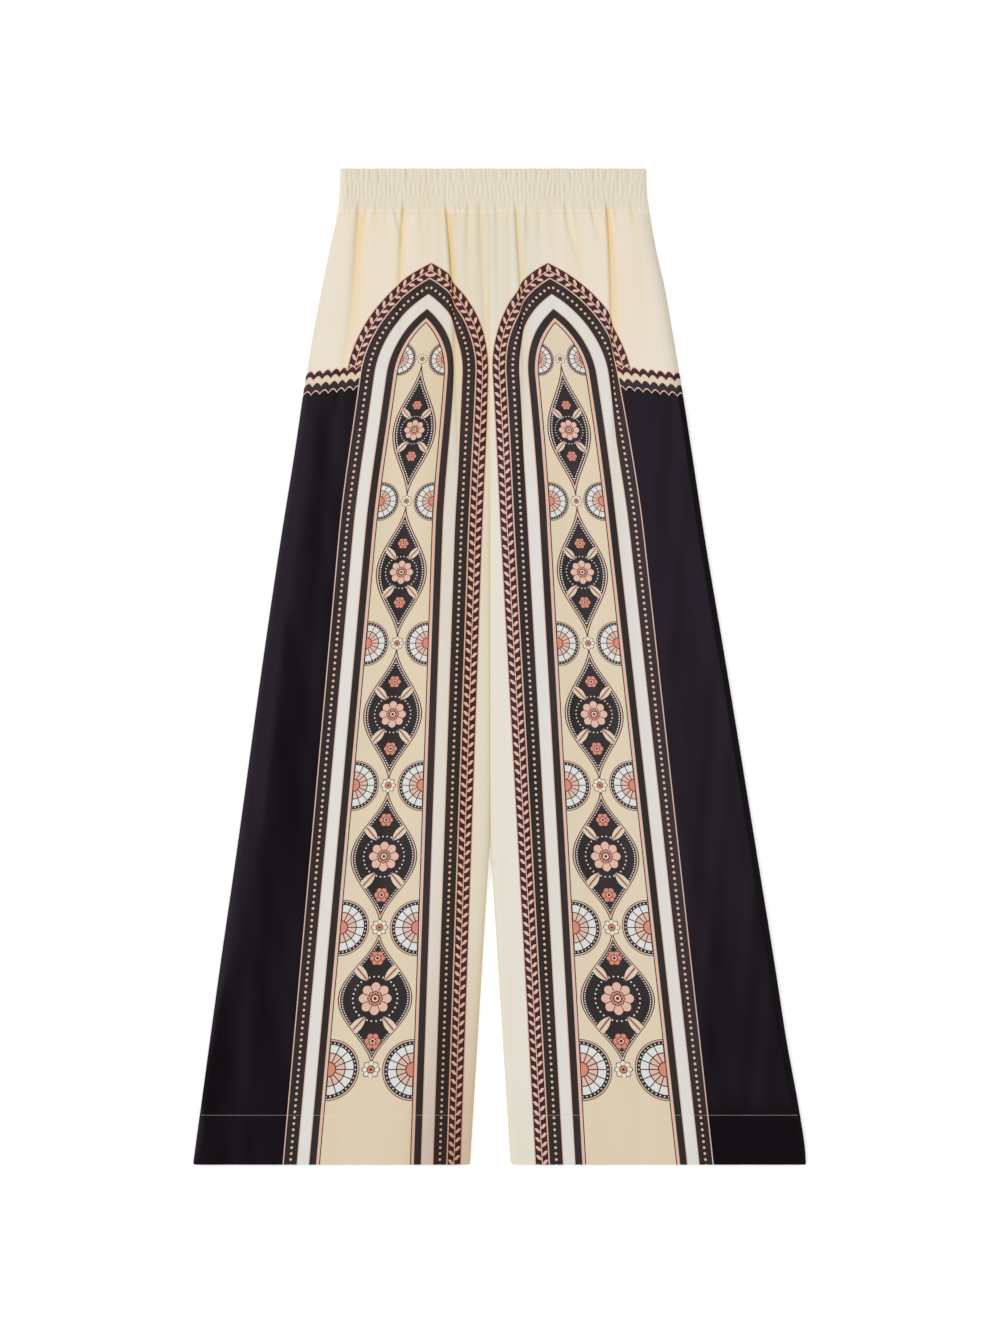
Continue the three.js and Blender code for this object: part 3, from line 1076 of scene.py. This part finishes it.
def medallion_column(tree, a, d, half, colour):
    """The sand column with its medallions, and fans and small flowers between them."""
    off = abs(a)
    along = (d - FIRST_MEDALLION).folded(REPEAT / 2)
    top, foot = FIRST_MEDALLION - REPEAT / 2, LAST_MEDALLION + REPEAT / 2
    scale = half * (1 / MOTIF_HALF)
    column = medallion(tree, off, along, half, scale, colour)
    column = lay(tree, colour.sand, column, (d > top) * (d < foot))
    out, down = half - off, REPEAT / 2 - along
    fan, sweep = edge_fan(tree, out, down, scale, colour)
    column = lay(tree, column, fan, (sweep < 27.8) * (d > top - 40.0) * (d < foot + 40.0))
    pale = (
        (0.0, colour.charcoal),
        (0.16, colour.salmon),
        (0.36, colour.charcoal),
        (0.46, colour.cream),
        (0.90, colour.charcoal),
    )
    flowers = flower(tree, column, off / scale, down / scale, 8.5, 8, pale)
    return lay(tree, column, flowers, (d > top - 9.0) * (d < foot + 9.0))


def dark_side(tree, under, a, d, across, colour):
    """The near-black outer side of the leg, with a scalloped trim along its top."""
    scallop = abs((across * (math.pi / 9.0)).math("SINE")) * 4.0
    fall = d - DARK_TOP - (across - STRIPES) * 0.12 + scallop
    trim = stripes(
        fall,
        60.0,
        (0.0, colour.blush),
        (1.4, colour.plum_brown),
        (7.0, colour.blush),
        (8.2, colour.sand),
        (13.0, colour.blush),
        (14.2, colour.charcoal),
        (22.0, colour.blush),
        (23.4, colour.plum_black),
    )
    mask = (a < 0.0) * (across > STRIPES) * (fall > 0.0)
    return lay(tree, under, trim, mask)


def printed_colours(tree, a, d, colour):
    """The whole print, from the ground up."""
    rise = (ARCH_HEAD - d).clipped(0.0)
    off = abs(a)
    half = (d - ARCH_HEAD).clipped(0.0) * ARCH_SPREAD + ARCH_HALF
    struck = off + ARCH_POINT
    across = struck.length(rise) - half - ARCH_POINT
    radius = ARCH_POINT + ARCH_HALF + STRIPES
    along = d.clipped(ARCH_HEAD) - rise.angle(struck) * radius
    column = medallion_column(tree, a, d, half, colour)
    arch = arch_stripes(across, colour)
    bead_reach = ARCH_POINT + ARCH_HALF + BEAD_LINE
    apex = ARCH_HEAD - math.acos(ARCH_POINT / bead_reach) * radius
    bead = (along - apex - BEAD_STEP / 2).folded(BEAD_STEP / 2).length(across - BEAD_LINE) < 1.4
    arch = lay(tree, arch, colour.blush, bead)
    arch = lay(tree, arch, colour.blush, leaf_border(across, along) * (across > STRIPES))
    ground = lay(tree, colour.cream, colour.pale, a.ease(-MOTIF_HALF, MOTIF_HALF))
    print_ = lay(tree, ground, arch, across < STRIPES + BORDER)
    print_ = dark_side(tree, print_, a, d, across, colour)
    return lay(tree, print_, column, across < 0.0)


def speckle(tree, across, along, detail):
    """Soft noise over the cloth, from 0 to 1, with spots about 1 wide in the units given."""
    place = tree.nodes.new("ShaderNodeCombineXYZ")
    feed(tree, place.inputs[0], across)
    feed(tree, place.inputs[1], along)
    node = tree.nodes.new("ShaderNodeTexNoise")
    tree.links.new(place.outputs[0], node.inputs["Vector"])
    node.inputs["Scale"].default_value = 1.0
    node.inputs["Detail"].default_value = detail
    return Value(tree, node.outputs["Fac"])


def painted_light(tree, name):
    """A value that the mesh keeps at each point: an amount of painted shade or painted sheen."""
    node = tree.nodes.new("ShaderNodeAttribute")
    node.attribute_name = name
    return Value(tree, node.outputs["Fac"])


def weave(tree, a, d):
    """Twill's fine diagonal ribs and a slight unevenness, as a bump."""
    rib = ((a + d * 1.6) * (2 * math.pi / 0.55)).math("SINE")
    height = rib * 0.35 + speckle(tree, a * 0.6, d * 0.2, 2.0)
    node = tree.nodes.new("ShaderNodeBump")
    node.inputs["Strength"].default_value = 0.25
    node.inputs["Distance"].default_value = 0.00005
    tree.links.new(height.socket, node.inputs["Height"])
    return node.outputs["Normal"]


def silk(name, paint):
    """Smooth silk twill, with painted shade and painted sheen over its colours. paint lays the colours
    from the place in the cut.
    """
    colour = colours()
    material, tree = new_material(name)
    shader = tree.nodes["Principled BSDF"]
    a, d = cut_place(tree)
    base = paint(tree, a, d, colour)
    # Painted shade: long soft streaks down the cloth, laid at random in the fold shade's tint
    shade_streaks = speckle(tree, a * 0.03, d * 0.002, 3.0).ease(0.35, 0.7, 0.0, 0.14)
    base = lay(tree, base, colour.warm, shade_streaks, "MULTIPLY")
    # Painted shade in the folds and along their lines, down the inside of the legs and along their outer
    # edges, then painted sheen added where the silk faces the light
    shaded = painted_light(tree, "fold_shade")
    base = lay(tree, base, colour.warm, shaded.math("MINIMUM", 1.0), "MULTIPLY")
    base = lay(tree, base, colour.deep, shaded.ease(0.9, 1.5), "MULTIPLY")
    base = lay(tree, base, colour.dim, painted_light(tree, "dusk"), "MULTIPLY")
    base = lay(tree, base, colour.rim, painted_light(tree, "rim"), "MULTIPLY")
    base = lay(tree, base, colour.shine, painted_light(tree, "lustre"), "ADD")
    tree.links.new(base, shader.inputs["Base Color"])
    shader.inputs["Roughness"].default_value = 0.45
    shader.inputs["Specular IOR Level"].default_value = 0.05
    tree.links.new(weave(tree, a, d), shader.inputs["Normal"])
    return material


def plain_ground(tree, a, d, colour):
    return lay(tree, colour.band, colour.cream, d.ease(LOWER_ROW + 6, BAND_DEPTH))


def thread_finish(name, colour):
    """Twisted thread, darkened in fine random spots: painted shade in the hollows of its twist."""
    material, tree = new_material(name)
    shader = tree.nodes["Principled BSDF"]
    ply = tree.nodes.new("ShaderNodeTexNoise")
    ply.inputs["Scale"].default_value = 2500.0
    # Painted shade of the twist's hollows, in fine random spots
    twist_shade = Value(tree, ply.outputs["Fac"]).ease(0.35, 0.65, 0.0, 0.3)
    base = lay(tree, colour, [0.8 * channel for channel in colour], twist_shade)
    tree.links.new(base, shader.inputs["Base Color"])
    shader.inputs["Roughness"].default_value = 0.6
    shader.inputs["Specular IOR Level"].default_value = 0.2
    return material


def material_named(name, make):
    return bpy.data.materials.get(name) or make()


def printed_silk():
    return material_named("printed_silk", lambda: silk("printed_silk", printed_colours))


def cream_silk():
    return material_named("cream_silk", lambda: silk("cream_silk", plain_ground))


# The pieces


def print_place(leg, x, down, folds):
    """Where a point of the laid cloth lies in the cut: across the leg's print axis, and down."""
    run = (down - AXIS_TOP) / (LENGTH - AXIS_TOP)
    axis = leg.axis_top + (leg.axis_hem - leg.axis_top) * run
    across = x + hidden_cloth(folds, x, down) - axis
    return -leg.side * across, down


LEG_TOP = BAND_DEPTH + SEAM
LONG_FOLDS = [fold for fold in FRONT_FOLDS if fold.depth > 2.7]
FRONT_ROWS = rows_between(
    (LEG_TOP, 1.2),
    (60, 2.4),
    (110, 4.5),
    (300, 10),
    (HEM_ROW - 4, 1),
    (HEM_ROW + 4, 7),
    (LENGTH - 4, 0.5),
    (LENGTH, 1),
)
BACK_ROWS = rows_between(
    (LEG_TOP, 2),
    (80, 6),
    (300, 20),
    (HEM_ROW - 4, 1),
    (HEM_ROW + 4, 9),
    (LENGTH - 4, 0.5),
    (LENGTH, 1),
)
BAND_ROWS = rows_between(
    (0, 0.5),
    (4, 1.2),
    (LOWER_ROW + 3, 1.6),
    (BAND_DEPTH - 3, 0.75),
    (BAND_DEPTH, 1),
)


def in_order(leg, inner, outer):
    return (inner, outer) if leg.side > 0 else (outer, inner)


def make_front_leg(leg):
    x, down = leg_grid(leg, FRONT_ROWS, FRONT_COLUMNS)
    upper = front_height(x, down, leg)
    cut = print_place(leg, x, down, ALL_FRONT_FOLDS)
    lower = upper - cloth_wall(down)
    shaded = fold_shade(ALL_FRONT_FOLDS, x, down) + inner_warmth(leg, x, down)
    painted_lights = {
        "fold_shade": shaded,
        "lustre": lustre(upper, x, sheen(leg, x, down)),
        "dusk": dusk(leg, x, down),
        "rim": rim(leg, x, down),
    }
    return cloth_object(f"{leg.name}_front_silk", x, down, upper, lower, cut, **painted_lights)


def make_back_leg(leg):
    low, high = in_order(leg, lambda d: inner_edge(leg, d), lambda d: outer_edge(leg, d))
    x, down = grid(BACK_ROWS, BACK_COLUMNS, low, high)
    lower = back_height(x, down, leg)
    cut = print_place(leg, x, down, ALL_BACK_FOLDS)
    upper = lower + cloth_wall(down)
    painted_lights = {"fold_shade": fold_shade(ALL_BACK_FOLDS, x, down), "lustre": lustre(-lower, x, PLAIN_SHEEN)}
    return cloth_object(f"{leg.name}_back_silk", x, down, upper, lower, cut, **painted_lights)


BAND_FRONT_FLOOR = 3.3  # height of the front casing's flat inner side
BAND_BACK_TOP = 3.0  # and of the back casing's
BAND_LEAST = 0.4  # least thickness of either
CORNER = 3.0  # how far down the casing's top corners are rounded
CORNER_PULL = 1.6  # and how far they draw in


def band_grid(columns):
    def pull(down):
        return CORNER_PULL * np.clip(1 - down / CORNER, 0.0, 1.0) ** 2

    return grid(BAND_ROWS, columns, lambda d: right_side(d) + pull(d), lambda d: left_side(d) - pull(d))


def make_front_band():
    x, down = band_grid(BAND_COLUMNS)
    upper = np.maximum(front_height(x, down), BAND_FRONT_FLOOR + BAND_LEAST)
    lower = np.full(x.shape, BAND_FRONT_FLOOR)
    shaded = fold_shade(ALL_FRONT_FOLDS, x, down) + gather_shade(FRONT_CHANNELS, x, down)
    painted_lights = {"fold_shade": shaded, "lustre": lustre(upper, x, PLAIN_SHEEN)}
    laid = down + edge_dip(TOP_GATHERS, x, down)
    return cloth_object("waistband_front_silk", x, laid, upper, lower, (x, down), **painted_lights)


def make_back_band():
    x, down = band_grid(BACK_BAND_COLUMNS)
    lower = np.minimum(back_height(x, down), BAND_BACK_TOP - BAND_LEAST)
    upper = np.full(x.shape, BAND_BACK_TOP)
    shaded = fold_shade(ALL_BACK_FOLDS, x, down) + gather_shade(BACK_CHANNELS, x, down)
    painted_lights = {"fold_shade": shaded, "lustre": lustre(-lower, x, PLAIN_SHEEN)}
    laid = down + edge_dip(BACK_TOP_GATHERS, x, down)
    return cloth_object("waistband_back_silk", x, laid, upper, lower, (x, down), **painted_lights)


# Sewing

STITCH_SIDES = 6
STITCH_RINGS = 5


def stitch_shape():
    """One stitch along x, 1 long and 1 thick: rings of points that arch out of the cloth."""
    turns = np.linspace(0, 2 * math.pi, STITCH_SIDES, endpoint=False)
    points = []
    for t in np.linspace(0, 1, STITCH_RINGS):
        radius = 0.5 * (0.45 + 0.55 * math.sin(math.pi * t) ** 0.5)
        arch = 0.55 * math.sin(math.pi * t) - 0.35
        along = np.full(STITCH_SIDES, t - 0.5)
        points.append(np.stack([along, radius * np.cos(turns), radius * np.sin(turns) + arch], 1))
    faces = []
    for ring in range(STITCH_RINGS - 1):
        for k in range(STITCH_SIDES):
            here, there = ring * STITCH_SIDES, (ring + 1) * STITCH_SIDES
            after = (k + 1) % STITCH_SIDES
            faces.append([here + k, here + after, there + after, there + k])
    last = (STITCH_RINGS - 1) * STITCH_SIDES
    caps = [list(range(STITCH_SIDES))[::-1], list(range(last, last + STITCH_SIDES))]
    return np.concatenate(points), faces + caps


def stitch_row(low, high, down, height, up, thread, sunk=0.0):
    """Points of a row of stitches across the cloth. up is 1 on the front and -1 on the back."""
    pitch = sizes().stitch / MM
    count = int((high - low) / pitch)
    starts = low + (high - low) * np.arange(count) / count
    ends = starts + 0.84 * (high - low) / count
    shape, _ = stitch_shape()
    first, last = height(starts, down), height(ends, down)
    length = ends - starts
    made = []
    for k in range(count):
        x = (starts[k] + ends[k]) / 2 + shape[:, 0] * length[k]
        slope = shape[:, 0] * (last[k] - first[k])
        z = (first[k] + last[k]) / 2 + slope + up * (shape[:, 2] * thread - sunk)
        y = LENGTH / 2 - down + up * shape[:, 1] * thread
        made.append(np.stack([x, y, z], axis=1))
    return made


def stitches_object(name, rows):
    """All the stitches of the rows given, joined in one mesh."""
    _, shape_faces = stitch_shape()
    stitches = [stitch for row in rows for stitch in row]
    step = STITCH_SIDES * STITCH_RINGS
    faces = []
    for k in range(len(stitches)):
        faces += [[k * step + corner for corner in face] for face in shape_faces]
    mesh = bpy.data.meshes.new(name)
    mesh.from_pydata((np.concatenate(stitches) * MM).tolist(), [], faces)
    mesh.shade_smooth()
    mesh.validate()
    return add_object(name, mesh)


def hem_rows():
    rows = []
    thread = sizes().thread / MM
    for leg in (RIGHT, LEFT):
        inner = inner_edge(leg, HEM_ROW)
        low, high = sorted((float(inner), float(outer_edge(leg, HEM_ROW))))
        for height, up in ((front_height, 1), (back_height, -1)):
            place = lambda x, down, height=height, leg=leg: height(x, np.full(x.shape, down), leg)
            rows.append(stitch_row(low + 2, high - 2, HEM_ROW, place, up, thread))
    return rows


def waist_rows():
    rows = []
    thread = sizes().waist_thread / MM
    for down in (CHANNEL, LOWER_ROW, BAND_DEPTH - 0.6):
        for height, up in ((front_height, 1), (back_height, -1)):
            place = lambda x, down, height=height: height(x, np.full(x.shape, down))
            low, high = float(right_side(down)) + 4, float(left_side(down)) - 4
            rows.append(stitch_row(low, high, down, place, up, thread, 0.06))
    return rows


# What the cloth was cut to, in metres: width, length and area
Cut = namedtuple("Cut", "width length area")


class TROUSERS_OT_front_legs(bpy.types.Operator):
    """Make the two front leg panels of printed silk"""

    bl_idname = "trousers.front_legs"
    bl_label = "Front legs"

    def execute(self, context):
        for leg in (RIGHT, LEFT):
            piece = make_front_leg(leg)
            dress(piece, printed_silk(), f"{leg.name}_front")
        return {"FINISHED"}


class TROUSERS_OT_back_legs(bpy.types.Operator):
    """Make the two back leg panels, which the trousers lie on"""

    bl_idname = "trousers.back_legs"
    bl_label = "Back legs"

    def execute(self, context):
        for leg in (RIGHT, LEFT):
            piece = make_back_leg(leg)
            dress(piece, printed_silk(), f"{leg.name}_back")
        return {"FINISHED"}


class TROUSERS_OT_waistband(bpy.types.Operator):
    """Make the front and back of the gathered casing"""

    bl_idname = "trousers.waistband"
    bl_label = "Waistband"

    def execute(self, context):
        for name, make in (("front", make_front_band), ("back", make_back_band)):
            piece = make()
            dress(piece, cream_silk(), f"waistband_{name}")
        return {"FINISHED"}


class TROUSERS_OT_sewing(bpy.types.Operator):
    """Sew the casing's rows and the hems"""

    bl_idname = "trousers.sewing"
    bl_label = "Sewing"

    def execute(self, context):
        colour = colours()
        pale = thread_finish("pale_thread", list(colour.thread))
        cream = thread_finish("cream_thread", list(colour.band))
        dress(stitches_object("hem_stitching", hem_rows()), pale)
        dress(stitches_object("waist_stitching", waist_rows()), cream)
        return {"FINISHED"}


# The stage

FLOOR_SIZE = 8.0
FLOOR_BELOW = 0.0006


def make_floor():
    half = FLOOR_SIZE / 2
    corners = [(-half, -half), (half, -half), (half, half), (-half, half)]
    mesh = bpy.data.meshes.new("floor")
    mesh.from_pydata([(x, y, -FLOOR_BELOW) for x, y in corners], [], [(0, 1, 2, 3)])
    floor = add_object("floor", mesh)
    material, tree = new_material("pale_floor")
    shader = tree.nodes["Principled BSDF"]
    shader.inputs["Base Color"].default_value = (0.92, 0.92, 0.92, 1.0)
    shader.inputs["Roughness"].default_value = 0.9
    shader.inputs["Specular IOR Level"].default_value = 0.0
    shader.inputs["Emission Color"].default_value = (1.0, 1.0, 1.0, 1.0)
    shader.inputs["Emission Strength"].default_value = 0.25
    mesh.materials.append(material)


def aim(thing, place, target):
    """Puts a light or camera at a place, looking at a target."""
    direction = [t - p for t, p in zip(target, place)]
    thing.location = place
    length = math.hypot(*direction)
    yaw = math.atan2(direction[1], direction[0]) - math.pi / 2
    pitch = math.acos(-direction[2] / length)
    thing.rotation_euler = (pitch, 0.0, yaw)


Lamp = namedtuple("Lamp", "name place size power")
LAMPS = [
    Lamp("key", (-3.4, 1.0, 2.8), 1.9, 96.0),
    Lamp("fill", (2.6, -0.2, 3.0), 2.6, 43.0),
]

SKY_STRENGTH = 0.63


def make_lamps(strength):
    for lamp in LAMPS:
        data = bpy.data.lights.new(lamp.name, "AREA")
        data.shape = "SQUARE"
        data.size = lamp.size
        data.energy = lamp.power * strength
        light = add_object(lamp.name, data)
        aim(light, lamp.place, (0.0, 0.0, 0.0))


def make_sky(strength):
    world = bpy.data.worlds.new("soft_light")
    bpy.context.scene.world = world
    world.use_nodes = True
    sky = world.node_tree.nodes["Background"]
    sky.inputs["Color"].default_value = (1.0, 1.0, 1.0, 1.0)
    sky.inputs["Strength"].default_value = SKY_STRENGTH * strength


VIEW_CENTRE = (0.0005, -0.0005)
LENS = 85.0


def make_camera(height):
    data = bpy.data.cameras.new("camera")
    data.lens = LENS
    camera = add_object("camera", data)
    camera.location = (*VIEW_CENTRE, height)
    bpy.context.scene.camera = camera


class TROUSERS_OT_stage(bpy.types.Operator):
    """Make the pale surface, the soft light and the camera above"""

    bl_idname = "trousers.stage"
    bl_label = "Stage"

    def execute(self, context):
        stage = context.scene.trousers_stage
        make_floor()
        make_lamps(stage.key)
        make_sky(stage.ambient)
        make_camera(stage.camera_height)
        context.scene.view_settings.view_transform = "Standard"
        return {"FINISHED"}


OPERATORS = [
    TROUSERS_OT_back_legs,
    TROUSERS_OT_front_legs,
    TROUSERS_OT_waistband,
    TROUSERS_OT_sewing,
    TROUSERS_OT_stage,
]


class TROUSERS_PT_panel(bpy.types.Panel):
    """The sidebar's list of pieces and sizes"""

    bl_label = "Trousers"
    bl_idname = "TROUSERS_PT_panel"
    bl_space_type = "VIEW_3D"
    bl_region_type = "UI"
    bl_category = "Trousers"

    def draw(self, context):
        for operator in OPERATORS:
            self.layout.operator(operator.bl_idname)
        for group in GROUPS:
            box = self.layout.box()
            settings = getattr(context.scene, group)
            for name in settings.__annotations__:
                box.prop(settings, name)


GROUPS = {
    "trousers_sizes": TrousersSizes,
    "trousers_colours": TrousersColours,
    "trousers_stage": TrousersStage,
}
CLASSES = [*GROUPS.values(), *OPERATORS, TROUSERS_PT_panel]


def register():
    for each in CLASSES:
        bpy.utils.register_class(each)
    for name, group in GROUPS.items():
        setattr(bpy.types.Scene, name, bpy.props.PointerProperty(type=group))


def unregister():
    for name in GROUPS:
        delattr(bpy.types.Scene, name)
    for each in reversed(CLASSES):
        bpy.utils.unregister_class(each)


def main():
    register()
    bpy.ops.trousers.back_legs()
    bpy.ops.trousers.front_legs()
    bpy.ops.trousers.waistband()
    bpy.ops.trousers.sewing()
    bpy.ops.trousers.stage()


if __name__ == "__main__":
    main()
